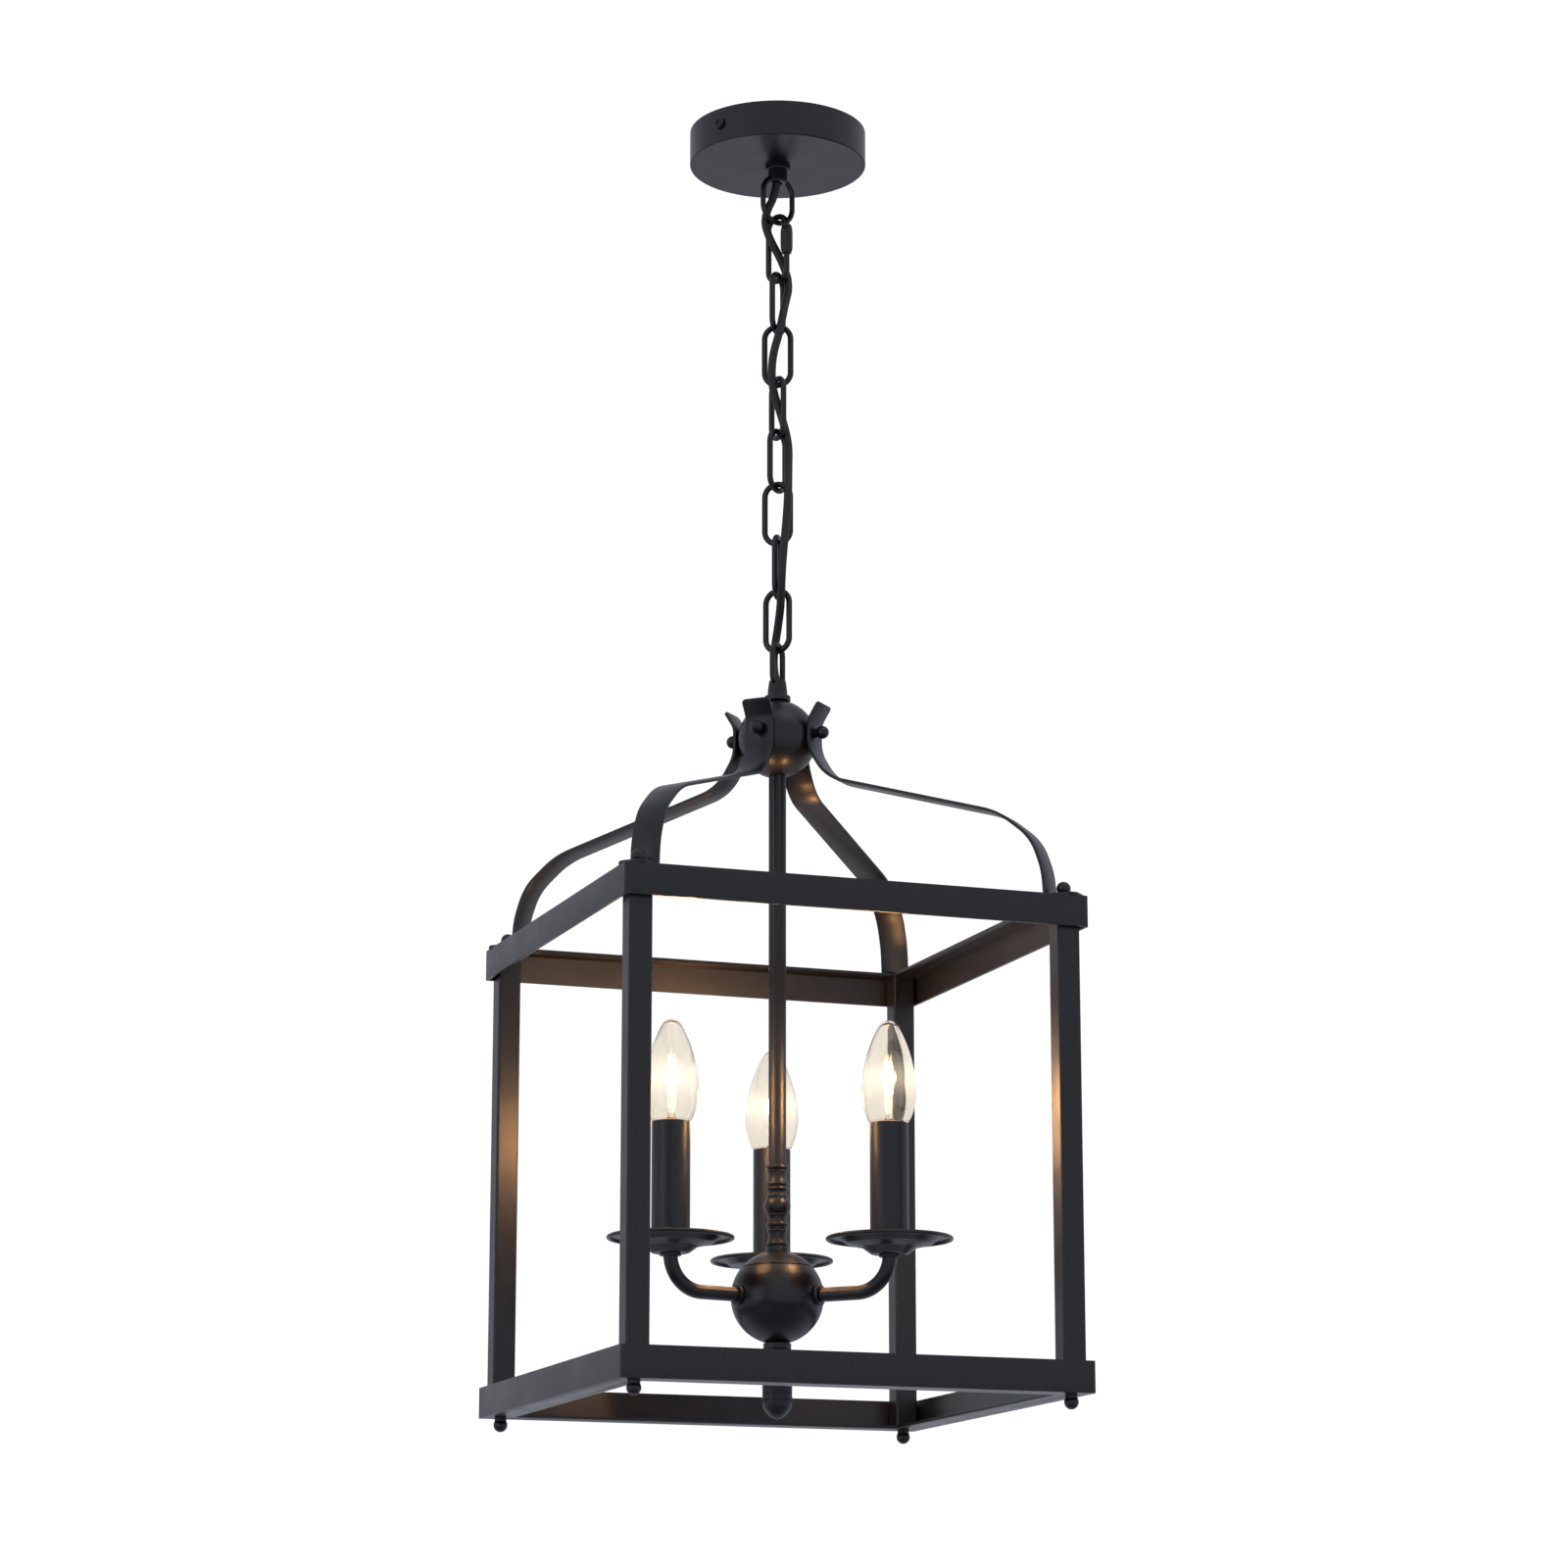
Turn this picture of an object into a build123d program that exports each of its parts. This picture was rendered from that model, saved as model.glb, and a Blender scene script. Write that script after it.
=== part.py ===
from build123d import *

import os
from math import cos, radians, sin, sqrt, tan

# Hanging cage lantern on a chain, one STEP file for each piece.
# Millimetres, +Z up. The origin is the centre of the ceiling plate on the ceiling plane, and the
# sides of the square cage run along X and Y. Everything hangs below z = 0.

# ---- ceiling end ----
CANOPY_RADIUS = 60.0
CANOPY_HEIGHT = 24.0
CANOPY_WALL = 1.2
BAR_WIDTH = 16.0
BAR_THICKNESS = 1.5
BAR_LENGTH = 104.0
SLOT_SPACING = 80.0
SLOT_LENGTH = 14.0
SLOT_RADIUS = 2.4
TAB_BAR_TURN = 29.7
SIDE_SCREW_DROP = 10.5
SCREW_RADIUS = 1.9
NIPPLE_RADIUS = 4.95
NIPPLE_BORE = 3.5
NIPPLE_TOP = -14.0
COLLAR_RADIUS = 8.6
COLLAR_BOTTOM = -27.3
SOCKET_RADIUS = 6.5
SOCKET_BOTTOM = -36.0
FLEX_HOLE = 3.2

# ---- chain ----
LINK_WIRE = 2.0
LINK_LENGTH = 45.5
LINK_HALF_WIDTH = 8.8
LINK_TURNS = [46.0, -25.0, -83.0, 35.0, -35.0, 58.0, -48.0]
CHAIN_GAP = 0.3
CANOPY_LOOP_WIRE = 1.85
CANOPY_LOOP_HALF_WIDTH = 12.0
CANOPY_LOOP_TOP = -32.0
CANOPY_LOOP_BOTTOM = -64.65
CANOPY_LOOP_TURN = 15.0
QUICK_LINK_WIRE = 2.0
QUICK_LINK_HALF_WIDTH = 8.0
QUICK_LINK_LENGTH = 50.1
QUICK_LINK_TURN = -60.0
QUICK_SLEEVE_LENGTH = 20.0
QUICK_SLEEVE_BORE = 2.06
LANTERN_LOOP_WIRE = 1.9
LANTERN_LOOP_HALF_WIDTH = 7.0
LANTERN_LOOP_BOTTOM = -391.0
LANTERN_LOOP_TURN = 42.0

# ---- supply flex, woven down the chain ----
FLEX_RADIUS = 2.8
FLEX_POINTS = [
    (0.0, 0.0, -21.0),
    (0.0, 0.0, -41.0),
    (-8.8, 3.7, -60.0),
    (-6.3, 1.5, -75.0),
    (4.1, 1.5, -92.0),
    (8.3, -1.4, -109.0),
    (2.9, -5.1, -127.0),
    (-1.5, -8.9, -145.0),
    (-6.4, -6.6, -164.0),
    (-5.7, -3.7, -184.0),
    (2.1, -3.4, -205.0),
    (7.3, -2.2, -223.0),
    (5.8, -5.2, -241.0),
    (3.8, -10.6, -260.0),
    (2.2, -11.0, -281.0),
    (-1.0, -13.9, -302.0),
    (-2.0, -13.4, -320.0),
    (0.2, -6.1, -336.0),
    (1.7, 4.3, -351.0),
    (0.3, 8.2, -366.0),
    (-1.5, 3.3, -380.0),
    (0.0, 0.0, -391.0),
    (0.0, 0.0, -399.0),
]

# ---- top of the lantern ----
LOOP_COLLAR_TOP = -387.7
LOOP_COLLAR_BOTTOM = -398.2
WASHER_RADIUS = 8.7
WASHER_BOTTOM = -402.1
TOP_BALL_RADIUS = 26.0
TOP_BALL_CENTRE = -427.6
STRAP_SCREW_HEIGHT = -426.2
SHELL_WALL = 1.5
PIPE_RADIUS = 4.8
PIPE_BORE = 3.4
PIPE_HOLE = PIPE_RADIUS + 0.05
STRAP_WIDTH = 20.0
STRAP_THICKNESS = 2.0

# ---- cage ----
RING_SIDE = 308.8
ANGLE_LEG = 20.0
ANGLE_THICKNESS = 2.0
TOP_RING_TOP = -552.7
BOTTOM_RING_BOTTOM = -866.6
POST_SIDE = 15.2
POST_WALL = 1.2
POST_OFFSET = 142.4
BALL_NUT_RADIUS = 4.6
STUD_RADIUS = 2.0

# ---- lamp cluster ----
ROD_RADIUS = 5.75
COLUMN_TOP = -711.6
HUB_RADIUS = 30.0
HUB_CENTRE = -797.0
HUB_SEAM = -777.7
ARM_RADIUS = 4.6
ARM_BORE = 3.2
ARM_REACH = 80.5
ARM_BEND = 23.0
ARM_TOP = -757.0
ARM_TURNS = [72.8, 192.8, 312.8]
PAN_SEAT = -774.0
PAN_RIM_RADIUS = 39.5
PAN_RIM_HEIGHT = -763.6
PAN_WALL = 1.0
SLEEVE_RADIUS = 12.4
SLEEVE_BORE = 11.4
SLEEVE_TOP = -690.0
SLEEVE_BOTTOM = -771.9
HOLDER_RADIUS = 10.6
HOLDER_BORE = 7.3
HOLDER_BOTTOM = -727.0
HOLDER_TOP = -694.2
CAP_RADIUS = 6.9
CAP_BOTTOM = -719.0
GLASS_BOTTOM = -694.0
GLASS_RADIUS = 17.5
GLASS_TIP = -623.0
GLASS_WALL = 0.8
FINIAL_TIP = -875.0


def save(node, *shapes):
    """Write the solids of one piece to its own file."""
    solids = [solid for shape in shapes for solid in shape.solids()]
    whole = solids[0] if len(solids) == 1 else Compound(children=solids)
    export_step(whole, f"parts/{node}.step")


def rod(radius, low, high, bore=0.0):
    """Upright round bar or tube on the Z axis."""
    section = Circle(radius)
    if bore:
        section -= Circle(bore)
    return Pos(0, 0, low) * extrude(section, high - low)


def spoke(radius, start, end, height, turn):
    """Round bar that lies level and points away from the Z axis."""
    return Rot(0, 0, turn) * Pos(start, 0, height) * Rot(0, 90, 0) * extrude(Circle(radius), end - start)


def hex_nut(across, low, high, bore):
    """Hexagon nut on the Z axis."""
    return Pos(0, 0, low) * extrude(RegularPolygon(across / sqrt(3), 6) - Circle(bore), high - low)


def turned(top, radius, segments, bore=0.0):
    """Turned piece from the top down; each segment is (height, lower radius, outward bulge)."""
    edges = [Line((0, top), (radius, top))] if radius else []
    low = top
    for height, lower_radius, bulge in segments:
        start, end = (radius, low), (lower_radius, low - height)
        edges.append(SagittaArc(start, end, bulge) if bulge else Line(start, end))
        radius, low = end
    edges += [Line((radius, low), (0, low)), Line((0, low), (0, top))]
    solid = revolve(Plane.XZ * make_face(edges), Axis.Z)
    return solid - rod(bore, low - 1, top + 1) if bore else solid


def ball_shell(radius, wall, centre):
    """Hollow ball."""
    return Pos(0, 0, centre) * (Sphere(radius) - Sphere(radius - wall))


def oval_link(top, bottom, half_width, wire):
    """Closed oval of round wire in the XZ plane; heights are those of the wire's centre."""
    upper = top - half_width
    lower = bottom + half_width
    bow = revolve(Pos(half_width, 0, 0) * Circle(wire), Axis.Y, 180)
    solid = Pos(0, 0, lower) * bow + Pos(0, 0, upper) * Rot(180, 0, 0) * bow
    for side in (-1, 1):
        solid += Pos(side * half_width, 0, 0) * rod(wire, lower, upper)
    return solid


def radii_for(points, share=0.45):
    """Arc radius at each inner point: a share of the shorter run over the tangent of half the turn."""
    radii = []
    for before, here, after in zip(points, points[1:], points[2:]):
        run_in = Vector(*here) - Vector(*before)
        run_out = Vector(*after) - Vector(*here)
        turn = run_in.get_angle(run_out)
        radii.append(share * min(run_in.length, run_out.length) / tan(radians(turn / 2)))
    return radii


def tube_along(points, radii, radius, bore=0.0):
    """Round tube along straight runs joined by arcs."""
    path = FilletPolyline(*points, radius=radii)
    section = Circle(radius)
    if bore:
        section -= Circle(bore)
    return sweep(Plane(origin=path @ 0, z_dir=path % 0) * section, path=path)


# ---------------------------------------------------------------- ceiling end

def ceiling_bar():
    plate = SlotOverall(BAR_LENGTH, BAR_WIDTH) - Circle(2.6)
    for side in (-1, 1):
        plate -= Pos(side * SLOT_SPACING / 2, 0) * SlotOverall(SLOT_LENGTH, 2 * SLOT_RADIUS)
    return Pos(0, 0, -BAR_THICKNESS) * extrude(plate, BAR_THICKNESS)


TAB_FACE = 57.6
EARTH_SCREW_AT = 26.0


def tab_bar():
    high = -BAR_THICKNESS
    bar = Pos(0, 0, high - BAR_THICKNESS / 2) * Box(2 * TAB_FACE, BAR_WIDTH, BAR_THICKNESS)
    for side in (-1, 1):
        tab_height = SIDE_SCREW_DROP + 4
        tab_at = side * (TAB_FACE - BAR_THICKNESS / 2)
        bar += Pos(tab_at, 0, high - tab_height / 2) * Box(BAR_THICKNESS, BAR_WIDTH, tab_height)
    bar -= rod(2.6, -5, 0)
    bar -= Pos(EARTH_SCREW_AT, 0, 0) * rod(SCREW_RADIUS, -5, 0)
    bar = Rot(0, 0, TAB_BAR_TURN) * bar
    for turn in (TAB_BAR_TURN, TAB_BAR_TURN + 180):
        bar -= spoke(SCREW_RADIUS, 50, 60, -SIDE_SCREW_DROP, turn)
    return bar


def pan_head_screw(head_radius, head_height, shank):
    """Cross-head screw on the Z axis: head above z = 0, shank below."""
    head = rod(head_radius, 0, head_height)
    head = fillet(head.edges().sort_by(Axis.Z)[-1], head_height * 0.45)
    cross = Box(0.9, head_radius * 1.1, 1.8) + Box(head_radius * 1.1, 0.9, 1.8)
    return head + rod(SCREW_RADIUS, -shank, 0) - Pos(0, 0, head_height) * cross


def bracket_screws():
    solids = []
    for turn in (TAB_BAR_TURN, TAB_BAR_TURN + 180):
        solids.append(Rot(0, 0, turn) * Pos(CANOPY_RADIUS, 0, -SIDE_SCREW_DROP) * Rot(0, 90, 0)
                      * pan_head_screw(4.2, 2.4, 9.0))
    low = -2 * BAR_THICKNESS
    solids.append(rod(5.0, low - 3.0, low) + rod(2.6, low, -0.2))
    earth = hex_nut(7.0, low - 2.6, low, 0.5) + rod(SCREW_RADIUS, low - 1.0, low + 1.4)
    solids.append(Rot(0, 0, TAB_BAR_TURN) * Pos(EARTH_SCREW_AT, 0, 0) * earth)
    return solids


def canopy():
    outside = rod(CANOPY_RADIUS, -CANOPY_HEIGHT, 0)
    outside = fillet(outside.edges().sort_by(Axis.Z)[0], 0.9)
    inside = rod(CANOPY_RADIUS - CANOPY_WALL, -CANOPY_HEIGHT + CANOPY_WALL, 1)
    inside = fillet(inside.edges().sort_by(Axis.Z)[0], 0.4)
    pan = outside - inside - rod(NIPPLE_RADIUS + 0.15, -CANOPY_HEIGHT - 1, 0)
    for turn in (TAB_BAR_TURN, TAB_BAR_TURN + 180):
        pan -= spoke(SCREW_RADIUS + 0.2, 50, 65, -SIDE_SCREW_DROP, turn)
    return pan


def canopy_nipple():
    return rod(NIPPLE_RADIUS, -31.2, NIPPLE_TOP, NIPPLE_BORE)


def nipple_nut():
    floor = -CANOPY_HEIGHT + CANOPY_WALL
    return [rod(15.0, floor, floor + 1.2, NIPPLE_RADIUS), hex_nut(14.0, floor + 1.2, floor + 4.4, NIPPLE_RADIUS)]


def canopy_collar():
    collar = rod(COLLAR_RADIUS, COLLAR_BOTTOM, -CANOPY_HEIGHT)
    collar = fillet(collar.edges().sort_by(Axis.Z)[0], 0.9)
    return collar - rod(NIPPLE_RADIUS, COLLAR_BOTTOM - 1, 0)


def canopy_loop():
    ring = oval_link(CANOPY_LOOP_TOP, CANOPY_LOOP_BOTTOM, CANOPY_LOOP_HALF_WIDTH, CANOPY_LOOP_WIRE)
    socket = rod(SOCKET_RADIUS, SOCKET_BOTTOM, COLLAR_BOTTOM)
    socket = fillet(socket.edges().sort_by(Axis.Z)[0], 1.2)
    loop = Rot(0, 0, CANOPY_LOOP_TURN) * (ring + socket)
    loop -= rod(FLEX_HOLE, SOCKET_BOTTOM - 4, COLLAR_BOTTOM + 1)
    return loop - rod(NIPPLE_RADIUS, -31.2, COLLAR_BOTTOM + 1)


WIRE_NUT_TURNS = [100.0, 160.0, 300.0]
WIRE_NUT_START = 24.0
WIRE_NUT_HEIGHT = -11.0
LEAD_RADIUS = 0.9
LEAD_OFFSET = 1.3
LEAD_START = FLEX_POINTS[0][2]


def wire_nut(turn):
    """Twist-on connector that lies level with its open end towards the middle."""
    body = Cone(5.0, 3.4, 16.0, align=(Align.CENTER, Align.CENTER, Align.MIN))
    body -= Cone(3.4, 1.6, 12.0, align=(Align.CENTER, Align.CENTER, Align.MIN))
    return Rot(0, 0, turn) * Pos(WIRE_NUT_START, 0, WIRE_NUT_HEIGHT) * Rot(0, 90, 0) * body


def canopy_lead(turn):
    """Insulated lead from the end of the flex into a connector."""
    points = [(LEAD_OFFSET, 0, LEAD_START), (LEAD_OFFSET, 0, -8.0), (10.0, 0, -7.0),
              (17.0, 0, WIRE_NUT_HEIGHT), (WIRE_NUT_START + 6, 0, WIRE_NUT_HEIGHT)]
    return Rot(0, 0, turn) * tube_along(points, radii_for(points), LEAD_RADIUS)


# ---------------------------------------------------------------- chain

QUICK_LINK_TOP = CANOPY_LOOP_BOTTOM + CANOPY_LOOP_WIRE + QUICK_LINK_WIRE + CHAIN_GAP
QUICK_LINK_BOTTOM = QUICK_LINK_TOP - QUICK_LINK_LENGTH + 2 * QUICK_LINK_WIRE
QUICK_SLEEVE_TOP = QUICK_LINK_TOP - QUICK_LINK_HALF_WIDTH + 0.1
QUICK_GAP = (QUICK_SLEEVE_TOP - 9.0, QUICK_SLEEVE_TOP - 2.0)
FIRST_LINK_TOP = QUICK_LINK_BOTTOM + QUICK_LINK_WIRE + LINK_WIRE + CHAIN_GAP
LINK_SPAN = LINK_LENGTH - 2 * LINK_WIRE
LINK_PITCH = LINK_SPAN - 2 * LINK_WIRE - CHAIN_GAP
LAST_LINK_BOTTOM = FIRST_LINK_TOP - LINK_PITCH * (len(LINK_TURNS) - 1) - LINK_SPAN
LANTERN_LOOP_TOP = LAST_LINK_BOTTOM + LINK_WIRE + LANTERN_LOOP_WIRE + CHAIN_GAP


def quick_link():
    oval = oval_link(QUICK_LINK_TOP, QUICK_LINK_BOTTOM, QUICK_LINK_HALF_WIDTH, QUICK_LINK_WIRE)
    gap = Pos(QUICK_LINK_HALF_WIDTH, 0, 0) * rod(4.0, *QUICK_GAP)
    return Rot(0, 0, QUICK_LINK_TURN) * (oval - gap)


def quick_link_sleeve():
    nut_top = QUICK_SLEEVE_TOP - 1.2
    nut_bottom = QUICK_SLEEVE_TOP - QUICK_SLEEVE_LENGTH + 1.2
    sleeve = rod(3.3, nut_top - 1, QUICK_SLEEVE_TOP) + rod(3.3, QUICK_SLEEVE_TOP - QUICK_SLEEVE_LENGTH, nut_bottom + 1)
    middle = (nut_top + nut_bottom) / 2
    hexagon = Pos(0, 0, nut_bottom) * extrude(RegularPolygon(4.45, 6), nut_top - nut_bottom)
    sleeve += hexagon & (Pos(0, 0, middle) * scale(Sphere(1), (4.6, 4.6, 14.0)))
    sleeve -= rod(QUICK_SLEEVE_BORE, nut_bottom - 5, nut_top + 5)
    return Rot(0, 0, QUICK_LINK_TURN) * Pos(QUICK_LINK_HALF_WIDTH, 0, 0) * sleeve


def chain_link(number):
    top = FIRST_LINK_TOP - LINK_PITCH * number
    return Rot(0, 0, LINK_TURNS[number]) * oval_link(top, top - LINK_SPAN, LINK_HALF_WIDTH, LINK_WIRE)


# ---------------------------------------------------------------- top of the lantern

def lantern_loop():
    ring = oval_link(LANTERN_LOOP_TOP, LANTERN_LOOP_BOTTOM, LANTERN_LOOP_HALF_WIDTH, LANTERN_LOOP_WIRE)
    ring &= Pos(0, 0, (LOOP_COLLAR_BOTTOM + 1 + LANTERN_LOOP_TOP) / 2) * Box(40, 40, 50)
    collar = turned(LOOP_COLLAR_TOP, 5.5, [(LOOP_COLLAR_TOP - LOOP_COLLAR_BOTTOM, 6.65, 0.25)])
    loop = Rot(0, 0, LANTERN_LOOP_TURN) * ring + collar
    mouth = turned(LOOP_COLLAR_TOP + 4, 4.4, [(4.0, 4.4, 0), (3.8, FLEX_HOLE + 0.1, 0), (8.0, FLEX_HOLE + 0.1, 0)])
    loop -= mouth
    return loop - rod(PIPE_RADIUS, LOOP_COLLAR_BOTTOM - 1, LOOP_COLLAR_BOTTOM + 4)


def loop_washer():
    washer = rod(WASHER_RADIUS, WASHER_BOTTOM, LOOP_COLLAR_BOTTOM)
    washer = fillet(washer.edges(), 0.8)
    return washer - rod(PIPE_HOLE, WASHER_BOTTOM - 1, 0)


def threaded_pipe():
    pipe = rod(PIPE_RADIUS, FINIAL_TOP - 20, LOOP_COLLAR_BOTTOM + 3.8, PIPE_BORE)
    for turn in ARM_TURNS:
        pipe -= spoke(1.6, 1, 8, HUB_CENTRE, turn)
    return pipe


def top_ball():
    ball = ball_shell(TOP_BALL_RADIUS, SHELL_WALL, TOP_BALL_CENTRE)
    ball -= rod(PIPE_HOLE, TOP_BALL_CENTRE - 30, TOP_BALL_CENTRE + 30)
    for turn in STRAP_TURNS:
        ball -= spoke(STUD_RADIUS + 0.05, 15, 30, STRAP_SCREW_HEIGHT, turn)
    return ball


STRAP_TURNS = [45.0, 135.0, 225.0, 315.0]
FOOT_TOP = TOP_RING_TOP + STRAP_THICKNESS
STRAP_INNER = TOP_BALL_RADIUS
# Inner face of the strap: distance from the axis and height.
STRAP_LINE = [(33.4, -406.7), (STRAP_INNER, -418.5), (STRAP_INNER, -438.5), (39.0, -459.8), (160.0, -495.0),
              (182.4, -513.6), (189.8, -534.5), (191.2, TOP_RING_TOP), (213.0, TOP_RING_TOP)]
STRAP_RADII = [14.0, 26.0, 32.0, 52.0, 36.0, 55.0, 2.0]


def strap(turn):
    line = FilletPolyline(*STRAP_LINE, radius=STRAP_RADII)
    section = make_face(offset(line, STRAP_THICKNESS, side=Side.LEFT))
    band = extrude(Plane.XZ * section, STRAP_WIDTH / 2, both=True)
    foot_tip = band.edges().filter_by(Axis.Z).group_by(Axis.X)[-1]
    band = fillet(foot_tip, 6.5)
    (out, high), (inner, low) = STRAP_LINE[:2]
    slope = Vector(out - inner, 0, high - low).normalized()
    across = Vector(-slope.Z, 0, slope.X)
    upper_end = band.faces().sort_by(Axis.Z)[-1]
    corners = [edge for edge in upper_end.edges() if abs((edge % 0).dot(across)) > 0.9]
    band = fillet(corners, 2.6)
    band -= spoke(STUD_RADIUS + 0.05, 20, 32, STRAP_SCREW_HEIGHT, 0)
    band -= Pos(POST_OFFSET * sqrt(2), 0, 0) * rod(STUD_RADIUS + 0.1, TOP_RING_TOP - 1, FOOT_TOP + 1)
    return Rot(0, 0, turn) * band


STRAP_HEAD_RADIUS = 4.3


def strap_screws():
    solids = []
    face = STRAP_INNER + STRAP_THICKNESS
    nut_start = TOP_BALL_RADIUS - 5.6
    for turn in STRAP_TURNS:
        head = Pos(face + STRAP_HEAD_RADIUS + 0.5, 0, STRAP_SCREW_HEIGHT) * Sphere(STRAP_HEAD_RADIUS)
        head += spoke(2.9, face, face + STRAP_HEAD_RADIUS, STRAP_SCREW_HEIGHT, 0)
        screw = Rot(0, 0, turn) * head + spoke(STUD_RADIUS, nut_start - 0.9, face, STRAP_SCREW_HEIGHT, turn)
        nut = Pos(nut_start, 0, STRAP_SCREW_HEIGHT) * Rot(0, 90, 0) * hex_nut(7.0, 0, 3.2, STUD_RADIUS)
        solids += [screw, Rot(0, 0, turn) * nut]
    return solids


def corner_places():
    return [(x * POST_OFFSET, y * POST_OFFSET) for x in (-1, 1) for y in (-1, 1)]


def top_ball_nuts():
    solids = []
    for x, y in corner_places():
        nut = Pos(0, 0, FOOT_TOP + 4.0) * Sphere(BALL_NUT_RADIUS)
        nut &= Pos(0, 0, FOOT_TOP + 5) * Box(12, 12, 10)
        nut += rod(3.4, FOOT_TOP, FOOT_TOP + 2)
        solids.append(Pos(x, y, 0) * (nut - rod(STUD_RADIUS, FOOT_TOP - 1, FOOT_TOP + 5)))
    return solids


# ---------------------------------------------------------------- cage

def square_tube(side, wall, corner, low, high):
    inner_corner = max(corner - wall, 0.3)
    section = RectangleRounded(side, side, corner)
    section -= RectangleRounded(side - 2 * wall, side - 2 * wall, inner_corner)
    return Pos(0, 0, low) * extrude(section, high - low)


def angle_ring(low, flange_low):
    """Square ring of angle bar: an upright leg and an inward flange."""
    ring = square_tube(RING_SIDE, ANGLE_THICKNESS, 2.2, low, low + ANGLE_LEG)
    ring += square_tube(RING_SIDE, ANGLE_LEG, 2.2, flange_low, flange_low + ANGLE_THICKNESS)
    for x, y in corner_places():
        ring -= Pos(x, y, 0) * rod(STUD_RADIUS + 0.1, flange_low - 1, flange_low + ANGLE_THICKNESS + 1)
    return ring


POST_TOP = TOP_RING_TOP - ANGLE_THICKNESS
POST_BOTTOM = BOTTOM_RING_BOTTOM + ANGLE_THICKNESS


def post(x, y):
    return Pos(x, y, 0) * square_tube(POST_SIDE, POST_WALL, 1.6, POST_BOTTOM, POST_TOP)


def post_end_plugs():
    """Plug in each end of each post, with its stud."""
    plug_side = POST_SIDE - 2 * POST_WALL
    plug = extrude(RectangleRounded(plug_side, plug_side, 0.4), 12.0)
    solids = []
    for x, y in corner_places():
        upper = Pos(0, 0, POST_TOP - 12) * plug + rod(STUD_RADIUS, POST_TOP, FOOT_TOP + 4.6)
        lower = Pos(0, 0, POST_BOTTOM) * plug + rod(STUD_RADIUS, BOTTOM_RING_BOTTOM - 5, POST_BOTTOM)
        solids += [Pos(x, y, 0) * upper, Pos(x, y, 0) * lower]
    return solids


def bottom_ball_nuts():
    solids = []
    for x, y in corner_places():
        nut = Pos(0, 0, BOTTOM_RING_BOTTOM - 4.85) * Sphere(BALL_NUT_RADIUS)
        nut += rod(3.9, BOTTOM_RING_BOTTOM - 2.4, BOTTOM_RING_BOTTOM)
        solids.append(Pos(x, y, 0) * (nut - rod(STUD_RADIUS, BOTTOM_RING_BOTTOM - 5.2, BOTTOM_RING_BOTTOM + 1)))
    return solids


# ---------------------------------------------------------------- lamp cluster

def on_ball(radius, centre, at):
    """Height above the centre of a ball's surface, at a distance from the axis."""
    return centre + sqrt(radius ** 2 - at ** 2)


ROD_TOP = 2 * TOP_BALL_CENTRE - on_ball(TOP_BALL_RADIUS, TOP_BALL_CENTRE, PIPE_HOLE)
COLUMN_FOOT_RADIUS = 7.4
COLUMN_BOTTOM = on_ball(HUB_RADIUS, HUB_CENTRE, COLUMN_FOOT_RADIUS)
FINIAL_TOP = 2 * HUB_CENTRE - on_ball(HUB_RADIUS, HUB_CENTRE, PIPE_HOLE)


def centre_rod():
    return rod(ROD_RADIUS, COLUMN_TOP, ROD_TOP, PIPE_HOLE)


def column():
    """Turned column: beads, a bulb in the middle and a flared foot."""
    bead, small_bead = (2.8, 6.5, 0.95), (1.4, 6.3, 0.6)
    upper = [bead, (0.4, 6.1, 0), small_bead, (6.2, 6.4, -0.4), bead, (0.4, 6.4, 0), bead, (2.0, 6.3, -0.2),
             (2.6, 6.8, 0.5)]
    bulb = [(10.0, 6.8, 1.9)]
    lower = [(0.3, 6.4, 0), small_bead, (4.2, 6.3, -0.3), bead, (1.8, 6.2, 0), small_bead, (6.6, 6.5, -0.5),
             (2.4, 6.6, 0.6), (0.4, COLUMN_FOOT_RADIUS, 0)]
    made = sum(segment[0] for segment in upper + bulb + lower)
    foot = [(COLUMN_TOP - COLUMN_BOTTOM - made, COLUMN_FOOT_RADIUS, 0)]
    return turned(COLUMN_TOP, 6.5, upper + bulb + lower + foot, PIPE_HOLE)


def slab(low, high, size=200.0):
    return Pos(0, 0, (low + high) / 2) * Box(size, size, high - low)


def hub_cap():
    cap = ball_shell(HUB_RADIUS, SHELL_WALL, HUB_CENTRE) & slab(HUB_SEAM + 0.35, COLUMN_BOTTOM)
    return cap - rod(PIPE_HOLE, HUB_CENTRE, COLUMN_BOTTOM + 5)


def hub_body():
    body = ball_shell(HUB_RADIUS, SHELL_WALL, HUB_CENTRE) & slab(HUB_CENTRE - 40, HUB_SEAM - 0.35)
    lip = ball_shell(HUB_RADIUS - SHELL_WALL, 1.0, HUB_CENTRE)
    body += lip & slab(HUB_SEAM - 5, HUB_SEAM + 3)
    body -= rod(PIPE_HOLE, HUB_CENTRE - 40, HUB_CENTRE)
    for turn in ARM_TURNS:
        body -= spoke(ARM_RADIUS + 0.05, 15, 40, HUB_CENTRE, turn)
    return body


def arm_collar(turn):
    seat = on_ball(HUB_RADIUS, 0, ARM_RADIUS + 0.05)
    collar = Pos(seat, 0, HUB_CENTRE) * Rot(0, 90, 0) * rod(6.8, 0, 2.2)
    collar = fillet(collar.edges().sort_by(Axis.X)[-1], 0.7)
    return Rot(0, 0, turn) * (collar - spoke(ARM_RADIUS, 20, 40, HUB_CENTRE, 0))


def arm(turn):
    points = [(24.0, 0, HUB_CENTRE), (ARM_REACH, 0, HUB_CENTRE), (ARM_REACH, 0, ARM_TOP)]
    return Rot(0, 0, turn) * tube_along(points, ARM_BEND, ARM_RADIUS, ARM_BORE)


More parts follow.
